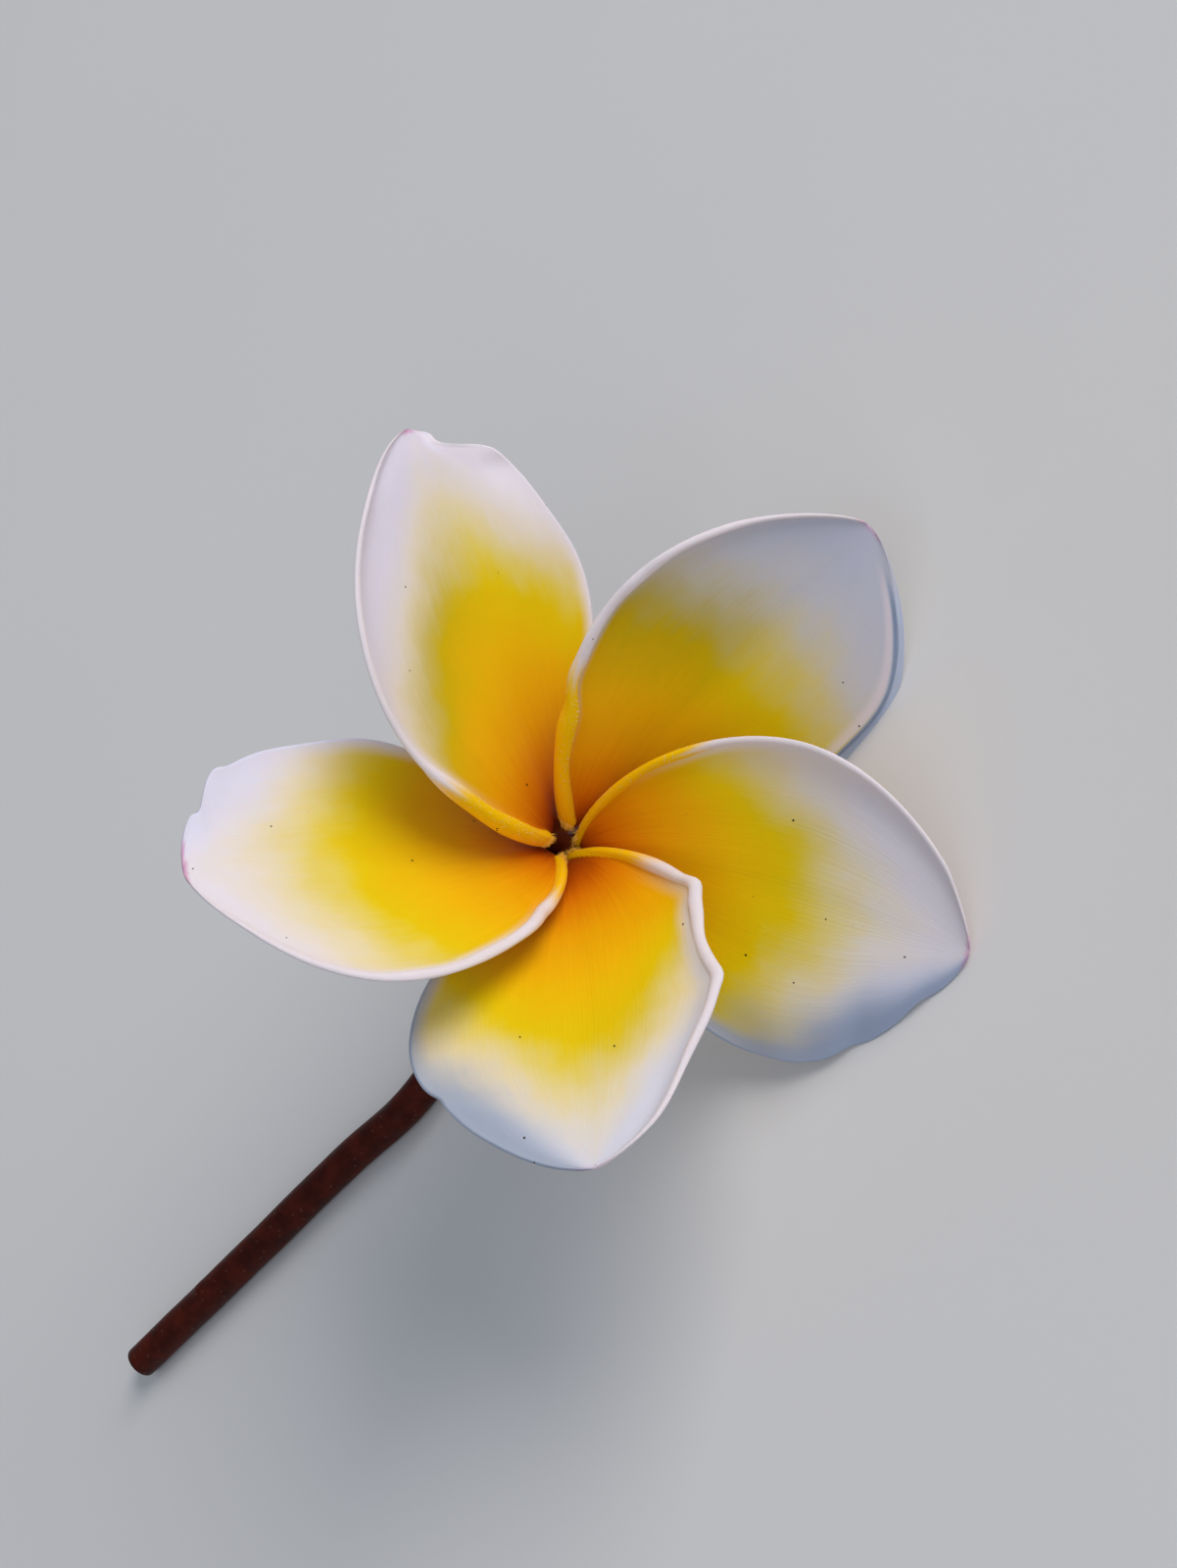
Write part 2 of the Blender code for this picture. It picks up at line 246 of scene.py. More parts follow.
def midrib(petal):
    """Points, sideways directions and normals along the petal's middle line."""
    blade = petal["rise"] + petal["droop"] * (along - 0.5)
    flare = (BASE_ELEVATION - petal["rise"]) * np.exp(-along / FLARE_LENGTH)
    hook = petal["hook"] * smoothstep((along - 0.90) / 0.10)
    rise = np.radians(blade + flare + hook)
    heading = np.radians(petal["sweep"] * along)
    ahead = [np.cos(rise) * np.cos(heading), np.cos(rise) * np.sin(heading), np.sin(rise)]
    spine = np.stack([running_sum(rates, along) * petal["length"] for rates in ahead], axis=1)
    spine[:, 0] += MOUTH_RADIUS
    side = np.stack([-np.sin(heading), np.cos(heading), np.zeros(ROWS)], axis=1)
    return spine, side, np.cross(np.stack(ahead, axis=1), side)


# %% [markdown]
# Each half of the blade is widest past its middle, narrow at the waist by the throat
# and blunt at the tip. Each dent takes a small bell-shaped bite from the edge.

# %% How wide the blade is
CLAW_HALF_WIDTH = 0.8
TIP_HALF_WIDTH = 0.35
TUCKED_WIDTH = 0.8
TUCKED_LENGTH = 0.06
NARROWEST = 0.25
WAIST_DEPTH = 0.5
WAIST_LENGTH = 0.10
WIDEST = {"left": 0.55, "right": 0.60}


def half_width(petal, side):
    power = math.log(0.5) / math.log(WIDEST[side])
    bow = np.clip(np.sin(math.pi * along**power), 0.0, 1.0)
    waist = 1.0 - WAIST_DEPTH * np.exp(-along / WAIST_LENGTH)
    width = petal[side] * waist * bow ** petal[side + "_full"]
    width += CLAW_HALF_WIDTH * (1.0 - along) ** 6 + TIP_HALF_WIDTH * along**6
    if side == "right":
        width += TUCKED_WIDTH * np.exp(-along / TUCKED_LENGTH)
    for dent_side, where, spread, depth in petal["dents"]:
        if dent_side == side:
            width -= depth * np.exp(-(((along - where) / spread) ** 2))
    return np.maximum(width, NARROWEST)


for name, petal in PETALS.items():
    widest = float((half_width(petal, "left") + half_width(petal, "right")).max())
    print(name, "is", round(widest, 1), "mm wide if it were laid flat")

# %% [markdown]
# Across the blade, the columns crowd together toward both edges, where the petal rolls
# back and where its thickness rounds off. Beyond the blade come the lips: the rolled
# margin on the left, and a folded one on the right of one petal.

# %% Columns across the blade
BLADE_COLUMNS = 47
LIP_COLUMNS = 9
LIP_SHARE = 0.08
blade_places = np.sin(np.linspace(-0.5, 0.5, BLADE_COLUMNS) * math.pi)
lip_places = np.sin(np.linspace(0.0, 0.5, LIP_COLUMNS + 1)[1:] * math.pi)
MIDDLE = LIP_COLUMNS + BLADE_COLUMNS // 2


def edges(petal):
    """In every row: the half widths on the left and right, and the lips beyond them."""
    left, right = half_width(petal, "left"), half_width(petal, "right")
    left_lip = np.minimum(petal["lips"][0], LIP_SHARE * left)
    right_lip = np.minimum(petal["lips"][1], petal["right_fold"][0] * right)
    return [part[:, None] for part in (left, right, left_lip, right_lip)]


def spread_columns(left, right, left_lip, right_lip):
    """Distance from the midrib of every column in every row, right edge first."""
    blade = blade_places * np.where(blade_places < 0.0, right, left)
    right_part = -(right + right_lip * lip_places[::-1])
    left_part = left + left_lip * lip_places
    return np.concatenate([right_part, blade, left_part], axis=1)


print("columns across a petal:", BLADE_COLUMNS + 2 * LIP_COLUMNS)

# %% [markdown]
# The section leans most by the throat, and is cupped, most of all at its edges. The left
# lip rolls back. A folded margin rises steeply at its crease and then flares out.

# %% How the section leans and curls
BASE_TWIST = 46.0
TWIST_LENGTH = 0.16
CUP = 12.0
CUPPED_EDGE = 28.0
LEFT_LIP_TURN = 70.0
CREASE = 0.16
FLARED_BACK = 0.75


def section_lean(petal, reach, v, left, right, left_lip, right_lip):
    """The slope of the section at every point, in radians."""
    u = along[:, None]
    inside = np.clip(v, -1.0, 1.0)
    lean = petal["twist"] + (BASE_TWIST - petal["twist"]) * np.exp(-u / TWIST_LENGTH)
    lean = lean + CUP * inside * smoothstep(u / 0.3)
    lean = lean + CUPPED_EDGE * smoothstep((inside - 0.7) / 0.3)
    right_turn = petal["right_turn"] * smoothstep((-inside - 0.45) / 0.5)
    lean = lean + right_turn * smoothstep((u - 0.3) / 0.3)
    rolled = np.clip((reach - left) / left_lip, 0.0, 1.0) * smoothstep((u - 0.2) / 0.25)
    past_crease = np.clip((-reach - right) / right_lip, 0.0, 1.0)
    folded = smoothstep(past_crease / CREASE)
    folded = folded * (1.0 - FLARED_BACK * smoothstep((past_crease - 0.38) / 0.3))
    return np.radians(lean - LEFT_LIP_TURN * rolled + petal["right_fold"][1] * folded)


# %% [markdown]
# No petal is as smooth as its formula: slow waves cross it, shallow ribs run along it
# over the veins, and some edges have a kink. A Displace modifier could do this, but
# sines keep every wave where it was meant to be.

# %% Waves, ribs and kinks
WAVE_HEIGHT = 0.16
RIPPLE_HEIGHT = 0.09
RIB_HEIGHT = 0.022
FINE_RIB_HEIGHT = 0.009
GROOVE_DEPTH = 0.07
GROOVE_WIDTH = 0.07


def waved(petal, v):
    """How far every point is lifted off the plain section, in millimetres."""
    seed = petal["azimuth"] * 0.7
    u = along[:, None]
    lift = WAVE_HEIGHT * np.sin(5.0 * u * math.pi + 2.0 * v + seed) * np.abs(v) ** 1.5 * smoothstep(u / 0.4)
    ripple = RIPPLE_HEIGHT * np.sin(17.0 * u + seed)
    lift = lift + ripple * smoothstep((np.abs(v) - 0.6) / 0.4) * smoothstep(u / 0.3)
    ribs = np.cos(v * 16.0 + 1.5 * u + seed) * RIB_HEIGHT + np.cos(v * 31.0 - u + seed) * FINE_RIB_HEIGHT
    lift = lift + ribs * smoothstep(u / 0.25) * smoothstep((1.0 - u) / 0.2) * (1.0 - v**2).clip(0.0)
    groove = GROOVE_DEPTH * np.exp(-((v / GROOVE_WIDTH) ** 2))
    lift = lift - groove * smoothstep(u / 0.15) * smoothstep((0.95 - u) / 0.4)
    for edge, where, spread, height in petal["waves"]:
        sign = 1.0 if edge == "left" else -1.0
        near = smoothstep((sign * v - 0.45) / 0.55)
        lift = lift + height * near * np.exp(-(((u - where) / spread) ** 2))
    return lift


# %% [markdown]
# The section is again a running sum, now of its lean, so rolling the edge never
# changes how wide the petal is.

# %% The petal's middle surface
def section_sum(steps_across):
    """Adds up the steps between columns, and counts from the midrib."""
    total = np.concatenate([np.zeros((ROWS, 1)), np.cumsum(steps_across, axis=1)], axis=1)
    return total - total[:, MIDDLE][:, None]


def sheet(petal):
    """Points and normals of the middle surface, and where each point is on it."""
    spine, side, normal = (part[:, None] for part in midrib(petal))
    left, right, left_lip, right_lip = edges(petal)
    reach = spread_columns(left, right, left_lip, right_lip)
    v = reach / np.where(reach < 0.0, right, left)
    lean = section_lean(petal, reach, v, left, right, left_lip, right_lip)
    run = np.diff(reach, axis=1)
    between = 0.5 * (lean[:, 1:] + lean[:, :-1])
    across = section_sum(run * np.cos(between))
    rise = section_sum(run * np.sin(between)) + waved(petal, v)
    points = spine + across[..., None] * side + rise[..., None] * normal
    normals = -np.sin(lean)[..., None] * side + np.cos(lean)[..., None] * normal
    return points, normals, v, left + left_lip - reach, reach + (right + right_lip)


# %% [markdown]
# ## Giving the petal its flesh
#
# A Solidify modifier would give one even thickness with square edges. The real petal is
# a thin blade with a round cord on its left edge: a thick golden finger by the throat,
# where it begins with a blunt end, and a slim white rim further out. So the front and
# the back are two grids, each set off from the middle surface by its own amount.

# %% Thickness
BLADE_THICKNESS = 0.50
THINNER_AT_TIP = 0.35
EDGE_BEAD = 0.05
CORD_BEHIND = 0.8
CORD_TIP_ROUNDING = 1.5
CORD_UNEVENNESS = 0.10


def rounded(distance, radius):
    """The height of a circle's quarter, 0 at its edge and 1 from one radius in."""
    inward = np.clip(distance / radius, 0.0, 1.0)
    return np.sqrt(np.clip(1.0 - (1.0 - inward) ** 2, 0.0, 1.0))


def cord_radius(petal):
    thinner = smoothstep((along - 0.22) / 0.28)
    radius = petal["finger"] + (petal["rim"] - petal["finger"]) * thinner
    radius = radius * (1.0 - 0.55 * smoothstep((along - 0.6) / 0.4))
    uneven = 1.0 + CORD_UNEVENNESS * np.sin(37.0 * along + petal["azimuth"]) * smoothstep(along / 0.2)
    blunt = rounded((along - petal["starts"]) * petal["length"], petal["finger"])
    return np.maximum(radius * uneven * blunt, 0.02)


def flesh(petal, to_left, to_right):
    """How far the face and the back stand off the middle surface."""
    u = along[:, None]
    half = 0.5 * BLADE_THICKNESS * (1.0 - THINNER_AT_TIP * u)
    half = half + EDGE_BEAD * (1.0 - smoothstep(to_right / 1.2))
    to_tip = (1.0 - u) * petal["length"]
    for distance in (to_left, to_right, to_tip):
        half = half * rounded(distance, np.maximum(half, 0.001))
    radius = cord_radius(petal)[:, None]
    off_middle = (to_left - radius) / radius
    cord = radius * np.sqrt(np.clip(1.0 - off_middle**2, 0.0, 1.0)) * rounded(to_tip, CORD_TIP_ROUNDING)
    proud = 1.0 - 0.38 * smoothstep((u - 0.28) / 0.2)
    return np.maximum(half, proud * cord), np.maximum(half, CORD_BEHIND * cord)


# %% [markdown]
# The two grids share their outer points, so the skin closes without a seam.

# %% One closed skin from two grids
def quads(grid):
    """Faces between the neighbouring rows and columns of a grid of point numbers."""
    corners = np.stack([grid[:-1, :-1], grid[:-1, 1:], grid[1:, 1:], grid[1:, :-1]], axis=-1)
    return [tuple(c) for c in corners.reshape(-1, 4)[:, ::-1].tolist()]


def closed_skin(name, front, behind):
    """The mesh, which grid points lie on its outer edge, and which points it keeps."""
    grid = np.arange(front[..., 0].size).reshape(front.shape[:2])
    rim = np.zeros(grid.shape, bool)
    rim[:, 0] = rim[:, -1] = rim[-1] = True
    other = np.where(rim, grid, grid + grid.size)
    foot = np.concatenate([grid[0], other[0][::-1][1:-1]])
    faces = [*quads(grid), *quads(other[:, ::-1]), tuple(foot[::-1].tolist())]
    kept, index = np.unique(np.concatenate(faces), return_inverse=True)
    ends = np.cumsum([len(face) for face in faces])[:-1]
    points = np.concatenate([front.reshape(-1, 3), behind.reshape(-1, 3)])[kept]
    mesh = bpy.data.meshes.new(name)
    mesh.from_pydata(points.tolist(), [], [tuple(face) for face in np.split(index, ends)])
    mesh.shade_smooth()
    return mesh, rim, kept


def add_piece(mesh, slot, *nodes):
    """Shows a mesh as a piece of the flower, in place of the solids that it stands for."""
    piece = bpy.data.objects.new(mesh.name, mesh)
    bpy.context.scene.collection.objects.link(piece)
    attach(piece, "root")
    if nodes:
        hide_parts(*nodes)
    print(piece.name, len(mesh.polygons), "faces")
    return piece


# %% [markdown]
# Each point carries a few plain numbers: how far along and across the petal it is, how
# far from each edge, how thick the cord is there, and whether it is on the face or the
# back. The colours are painted from these, so they stay on the petal in every view.

# %% Build the five petals
def add_numbers(mesh, name, values):
    layer = mesh.attributes.new(name, "FLOAT", "POINT")
    layer.data.foreach_set("value", np.ascontiguousarray(values, dtype=np.float32).ravel())


def petal_mesh(name, petal):
    """The petal's mesh with its numbers, and the face that its hairs will stand on."""
    middle, normals, v, to_left, to_right = sheet(petal)
    before, after = (part[..., None] for part in flesh(petal, to_left, to_right))
    spin = np.array(Matrix.Rotation(math.radians(petal["azimuth"]), 3, "Z"))
    face = (middle + normals * before) @ spin.T
    behind = (middle - normals * after) @ spin.T
    mesh, rim, kept = closed_skin(name + "_fine", place(face), place(behind))
    in_rows = {"along": along, "cord": cord_radius(petal)}
    numbers = {key: np.repeat(values[:, None], v.shape[1], axis=1) for key, values in in_rows.items()}
    numbers.update(across=v, to_left=to_left, to_right=to_right)
    for key, values in numbers.items():
        add_numbers(mesh, key, np.tile(values.ravel(), 2)[kept])
    face_side = np.concatenate([np.where(rim, 0.5, 1.0).ravel(), np.zeros(rim.size)])
    add_numbers(mesh, "face", face_side[kept])
    return mesh, (face, normals @ spin.T, to_left)


petals = {}
surfaces = {}
for name, petal in PETALS.items():
    mesh, surfaces[name] = petal_mesh(name, petal)
    petals[name] = add_piece(mesh, "petal_face", name)

# %% [markdown]
# ## Shader maths as plain sums
#
# Node trees are hard to read in code. This small class wraps a socket, so that
# `1 - mask` or `a * b` adds the Math node by itself, and everything else goes through
# one method that takes a node's type, its settings and its sockets.

# %% A finish, and the wires inside it
def maths(operation, swapped=False):
    def method(wire, other):
        pair = (other, wire) if swapped else (wire, other)
        return wire.finish.add("ShaderNodeMath", {"operation": operation}, dict(enumerate(pair)))

    return method


class Wire:
    def __init__(self, finish, socket):
        self.finish = finish
        self.socket = socket

    __add__, __radd__ = maths("ADD"), maths("ADD", swapped=True)
    __sub__, __rsub__ = maths("SUBTRACT"), maths("SUBTRACT", swapped=True)
    __mul__, __rmul__ = maths("MULTIPLY"), maths("MULTIPLY", swapped=True)
    __truediv__, __rtruediv__ = maths("DIVIDE"), maths("DIVIDE", swapped=True)
    __pow__, __rpow__ = maths("POWER"), maths("POWER", swapped=True)


class Finish:
    def __init__(self, name, **constants):
        self.material = bpy.data.materials.new(name)
        self.material.use_nodes = True
        self.tree = self.material.node_tree
        self.shader = self.tree.nodes["Principled BSDF"]
        for socket, value in constants.items():
            self.shader.inputs[socket.replace("_", " ")].default_value = value

    def add(self, kind, settings=None, sockets=None, out=0):
        node = self.tree.nodes.new(kind)
        for key, value in (settings or {}).items():
            setattr(node, key, value)
        for key, value in (sockets or {}).items():
            if isinstance(value, Wire):
                self.tree.links.new(value.socket, node.inputs[key])
            else:
                node.inputs[key].default_value = value
        return Wire(self, node.outputs[out])

    def number(self, name):
        """One of the plain numbers that the mesh carries."""
        return self.add("ShaderNodeAttribute", {"attribute_name": name}, out="Fac")

    def step(self, value, start, end, low=0.0, high=1.0):
        """Goes smoothly from low at start to high at end."""
        sockets = {"Value": value, "From Min": start, "From Max": end, "To Min": low, "To Max": high}
        return self.add("ShaderNodeMapRange", {"interpolation_type": "SMOOTHSTEP"}, sockets)

    def fade(self, value, start, end):
        """Falls smoothly from 1 at start to 0 at end."""
        return self.step(value, start, end, 1.0, 0.0)

    def mix(self, share, colour, other):
        return self.add("ShaderNodeMix", {"data_type": "RGBA"}, {0: share, 6: colour, 7: other}, out=2)

    def noise(self, vector, scale, detail=3.0, roughness=0.5):
        sockets = {"Vector": vector, "Scale": scale, "Detail": detail, "Roughness": roughness}
        return self.add("ShaderNodeTexNoise", None, sockets)

    def place(self):
        return self.add("ShaderNodeTexCoord", out="Object")

    def vector(self, x, y, z):
        return self.add("ShaderNodeCombineXYZ", None, {0: x, 1: y, 2: z})

    def bump(self, height, strength, distance):
        sockets = {"Height": height, "Strength": strength, "Distance": distance}
        return self.add("ShaderNodeBump", None, sockets, out="Normal")

    def feed(self, socket, wire):
        self.tree.links.new(wire.socket, self.shader.inputs[socket])

    def feel(self, noise, smooth, rough, strength, distance):
        """A skin whose roughness and small bumps follow one noise."""
        self.feed("Roughness", self.step(noise, 0.3, 0.7, smooth, rough))
        self.feed("Normal", self.bump(noise, strength, distance))


def srgb(red, green, blue):
    """A colour mixed on a screen, 0 to 255, as the linear values that a shader takes."""
    parts = [c / 255.0 for c in (red, green, blue)]
    linear = [c / 12.92 if c <= 0.04045 else ((c + 0.055) / 1.055) ** 2.4 for c in parts]
    return (*linear, 1.0)


print("white of the petal:", [round(c, 2) for c in srgb(238, 230, 236)])

# %% [markdown]
# ## The colours of a petal
#
# The face is white with a yellow heart that deepens to orange in the throat. The yellow
# fades out along the veins, so its border is feathered, and at some edges it runs right
# to the rim. The rolled rim turns golden close to the throat, and the tips have a touch
# of pink. Plain numbers say where each colour ends, petal by petal.

# %% Where the yellow reaches on each petal
# heart, left and right: how far along the yellow reaches on the midrib and the edges;
# border: the white margin beside the left and right edge, in millimetres; golden: how
# far along the rim is golden; pink: the tip's pink; fan: how pointed the yellow is;
# creamy: the cream beyond it; glow: how much further the orange reaches; then the outer
# yellow of the left half, darkened as painted shade on some petals; and the whites of the
# left and the right half, which carry painted light and shade: grey-blue as painted shade
# on all of petal_front_left and on the right half of petal_front_right and petal_right,
# and lighter as painted light on the right half of petal_left.
HEARTS = {
    "petal_left": dict(
        heart=0.80, left=0.42, right=0.60, border=(1.2, 0.5), golden=0.33, pink=0.6, fan=1.3,
        creamy=0.8, glow=0.01, lemon_with_painted_shade=(208, 184, 0), white=(232, 224, 236), right_half_white_painted_light=(255, 244, 252),
    ),
    "petal_front_left": dict(
        heart=0.73, left=0.66, right=0.66, border=(0.2, 1.6), golden=0.37, pink=0.4, fan=1.6,
        creamy=0.35, glow=0.0, lemon_with_painted_shade=(200, 178, 0), white=(204, 206, 222), right_half_white_painted_light=(208, 208, 220),
    ),
    "petal_front_right": dict(
        heart=0.74, left=0.46, right=0.56, border=(0.4, 1.8), golden=0.35, pink=0.5, fan=1.4,
        creamy=0.7, glow=-0.01, lemon_with_painted_shade=(240, 212, 0), white=(238, 230, 236), right_half_white_painted_light=(176, 188, 212),
    ),
    "petal_right": dict(
        heart=0.82, left=0.54, right=0.58, border=(1.6, 1.0), golden=0.22, pink=0.15, fan=1.25,
        creamy=1.0, glow=0.05, lemon_with_painted_shade=(232, 204, 0), white=(228, 226, 236), right_half_white_painted_light=(172, 182, 198),
    ),
    "petal_top": dict(
        heart=0.77, left=0.62, right=0.60, border=(0.4, 0.8), golden=0.20, pink=0.7, fan=1.6,
        creamy=1.0, glow=0.0, lemon_with_painted_shade=(240, 212, 0), white=(242, 232, 236), right_half_white_painted_light=(236, 232, 248),
    ),
}

# %% [markdown]
# Three noises, drawn out along the petal, stand for its veins. Together they push every
# colour border a little in and out.

# %% Places on a petal
STREAK_SPREAD = 0.05
FINE_SPREAD = 0.016
CLOUD_SPREAD = 0.13
RIM_WIDTH = 1.9


def places_on_petal(finish, seed):
    """Where a point is on its petal, and the noises that feather every border."""
    u, v = finish.number("along"), finish.number("across")
    to_left, to_right = finish.number("to_left"), finish.number("to_right")
    streaks = finish.noise(finish.vector(v * 9.0, u * 1.6, seed), 3.0, 4.0, 0.6)
    fine = finish.noise(finish.vector(v * 34.0, u * 2.5, seed + 7.0), 3.0, 3.0, 0.6)
    cloud = finish.noise(finish.vector(v * 1.6, u * 4.0, seed + 3.0), 2.0, 2.0, 0.5)
    feather = (streaks - 0.5) * STREAK_SPREAD + (fine - 0.5) * FINE_SPREAD + (cloud - 0.5) * CLOUD_SPREAD
    return SimpleNamespace(
        u=u, v=v, to_left=to_left, to_right=to_right, past_rim=to_left - finish.number("cord") * RIM_WIDTH,
        streaks=streaks, fine=fine, cloud=cloud, feather=feather,
    )


# %% [markdown]
# The yellow ends at one place on the midrib and others at the edges, with cream just
# beyond. Toward the throat it takes the whole width and turns gold and orange, and the
# petal's foot, where it dips into the throat, is painted brown as the throat's shade.

# %% The face, from white edge to the painted shade in the throat
CREAM = srgb(246, 228, 188)
LEMON = srgb(240, 212, 0)
YELLOW = srgb(254, 194, 0)
GOLD = srgb(236, 152, 0)
ORANGE = srgb(204, 94, 0)
DEEP_ORANGE = srgb(158, 66, 0)
# Painted shade for the petals' feet where they dip into the throat.
THROAT_PAINTED_SHADE = srgb(112, 46, 0)
THROAT_SHADES = ((0.16, 0.50, GOLD), (0.06, 0.31, ORANGE), (0.03, 0.19, DEEP_ORANGE))


def heart_masks(finish, at, heart):
    """How far past the border a point is, and its shares of yellow and cream."""
    toward_left = finish.step(at.v, 0.0, 1.0) ** heart["fan"] * (heart["left"] - heart["heart"])
    toward_right = finish.step(at.v, 0.0, -1.0) ** heart["fan"] * (heart["right"] - heart["heart"])
    past = at.u - (toward_left + toward_right + (heart["heart"] + 0.02) + at.feather)
    left, right = heart["border"]
    left_border = finish.step(at.past_rim + at.feather * 4.0, left * 0.4 - 0.4, left + 0.9)
    right_border = finish.step(at.to_right + at.feather * 4.0, right * 0.5, right + 1.4)
    inside = 1 - (1 - left_border * right_border) * finish.step(at.u, 0.16, 0.42)
    yellow = finish.fade(past, -0.20, 0.08) * inside
    cream = finish.fade(past, -0.06, 0.22) * (0.35 + 0.65 * inside) * heart["creamy"]
    return past, yellow, cream


def face_colour(finish, at, heart):
    past, yellow, cream = heart_masks(finish, at, heart)
    # The whites carry painted light and shade: grey-blue in shade, lighter in the light.
    white = finish.mix(finish.step(at.v, -0.15, -0.85), srgb(*heart["white"]), srgb(*heart["right_half_white_painted_light"]))
    colour = finish.mix(cream, white, CREAM)
    # The left half's outer yellow is darkened on some petals as painted shade.
    lemon_with_painted_shade = finish.mix(finish.step(at.v, -0.25, 0.35), LEMON, srgb(*heart["lemon_with_painted_shade"]))
    colour = finish.mix(yellow, colour, finish.mix(finish.step(past, -0.40, -0.08), YELLOW, lemon_with_painted_shade))
    deep = at.u + (at.streaks - 0.5) * 0.08 + (at.v + 0.15) ** 2.0 * 0.10 - heart["glow"]
    for full, gone, shade in THROAT_SHADES:
        colour = finish.mix(finish.fade(deep, full, gone), colour, shade)
    # The petal's foot, down in the throat, is painted brown as shade.
    painted_shade_end = finish.step(at.v, 0.2, -0.8, 0.058, 0.095)
    return finish.mix(finish.fade(at.u / painted_shade_end, 0.45, 1.0), colour, THROAT_PAINTED_SHADE)


# %% [markdown]
# The back is a duller white. It yellows toward the tube, and the half that was outside
# in the bud has a pink flush.

# %% The back
BACK_WHITE = srgb(232, 228, 226)
BACK_TINT = srgb(214, 196, 150)
BACK_FOOT = srgb(226, 190, 84)
BACK_FLUSH = srgb(226, 170, 186)


def back_colour(finish, at):
    colour = finish.mix(finish.step(at.u + at.feather, 0.10, 0.55), BACK_TINT, BACK_WHITE)
    colour = finish.mix(finish.fade(at.u + at.feather * 0.6, 0.02, 0.30), colour, BACK_FOOT)
    flush = finish.step(at.to_left + at.feather * 14.0, 1.5, 9.0, 0.42, 0.0) * finish.step(at.u, 0.25, 0.6)
    return finish.mix(flush, colour, BACK_FLUSH)


# %% [markdown]
# The left rim is white, and golden where it meets the throat. Where a margin is folded
# over, the light alone hardly shows it at this size, so its pale strip and its crease are
# painted grey-blue as painted shade, and the ridge beside it as a painted highlight.

# %% Rims and the folded margin
RIM_WHITE = srgb(242, 231, 234)
RIM_GOLD = srgb(255, 204, 2)
# Painted shade for the folded strip and its crease, and a painted highlight for its ridge.
FOLD_STRIP_SHADE = srgb(200, 210, 230)
FOLD_CREASE_SHADE = srgb(116, 134, 164)
FOLD_RIDGE_HIGHLIGHT = srgb(250, 232, 236)
WIDE_LIP = 1.0


def rim_colour(finish, colour, at, heart, petal):
    """White along both edges, and golden where the left one meets the throat. The right edge takes the right
    half's white, with its painted light and shade.
    """
    golden = finish.fade(at.u + (at.streaks - 0.5) * 0.14, heart["golden"] - 0.04, heart["golden"] + 0.05)
    on_rim = finish.fade(at.past_rim, -0.12, 0.16)
    on_rim = on_rim * finish.step(at.u, petal["starts"] - 0.004, petal["starts"] + 0.006)
    colour = finish.mix(on_rim, colour, finish.mix(golden, RIM_WHITE, RIM_GOLD))
    # The right rim takes the right half's white, with its painted light and shade.
    right_rim = finish.fade(at.to_right, 0.25, 0.55) * finish.step(at.u, 0.35, 0.5)
    return finish.mix(right_rim, colour, srgb(*heart["right_half_white_painted_light"]))


def fold_painted_light(finish, colour, at, crest):
    """Painted shade on the strip and crease of a margin that is folded over, crest mm from its edge, and a
    painted highlight on the ridge beside it.
    """
    strip = finish.fade(at.to_right, crest - 0.3, crest)
    crease = finish.step(at.to_right, crest - 1.1, crest - 0.7) * strip * 0.7
    ridge = finish.step(at.to_right, crest, crest + 0.2) * finish.fade(at.to_right, crest + 0.5, crest + 1.6)
    before_tip = finish.fade(at.u, 0.90, 0.97)
    for share, shade in ((strip, FOLD_STRIP_SHADE), (crease, FOLD_CREASE_SHADE), (ridge * 0.6, FOLD_RIDGE_HIGHLIGHT)):
        colour = finish.mix(share * before_tip, colour, shade)
    return colour


# %% [markdown]
# Last come a few dark specks of pollen and dust, and the skin itself: satin, with fine
# cells, soft veins that run out from the throat, and light passing through the flesh.

# %% Specks, skin and the whole petal
PINK = srgb(214, 120, 176)
SPECK = srgb(52, 34, 18)


def specks(finish, colour, seed):
    sockets = {"Vector": finish.place(), "Scale": 330.0 + seed, "Randomness": 1.0}
    distance = finish.add("ShaderNodeTexVoronoi", {"feature": "F1"}, sockets, out="Distance")
    chance = finish.noise(finish.place(), 260.0, 0.0)
    speck = finish.fade(distance, 0.038, 0.052) * finish.step(chance, 0.42, 0.44)
    return finish.mix(speck, colour, SPECK)


def surface_feel(finish, at):
    cells = finish.noise(finish.place(), 5200.0, 2.0)
    veins = finish.noise(finish.vector(at.v * 22.0, at.u * 1.2, 3.0), 3.0, 2.0, 0.5)
    height = cells * 0.25 + veins * 1.0 + at.fine * 0.35
    finish.feed("Normal", finish.bump(height, 0.24, 0.00012))
    finish.feed("Roughness", finish.step(at.streaks, 0.3, 0.7, 0.42, 0.56))


def petal_finish(name, heart, petal, seed):
    finish = Finish(
        name + "_finish", IOR=1.42, Sheen_Weight=0.02, Sheen_Roughness=0.45, Subsurface_Weight=0.10,
        Subsurface_Radius=(1.0, 0.55, 0.35), Subsurface_Scale=0.0009, Specular_IOR_Level=0.12,
    )
    at = places_on_petal(finish, seed)
    on_face = finish.step(finish.number("face"), 0.15, 0.45)
    colour = finish.mix(on_face, back_colour(finish, at), face_colour(finish, at, heart))
    colour = rim_colour(finish, colour, at, heart, petal)
    if petal["lips"][1] >= WIDE_LIP:
        colour = fold_painted_light(finish, colour, at, petal["lips"][1])
    tip = finish.step(at.u + (at.cloud - 0.5) * 0.02, 0.985, 0.999) * heart["pink"]
    finish.feed("Base Color", specks(finish, finish.mix(tip, colour, PINK), seed))
    surface_feel(finish, at)
    return finish.material


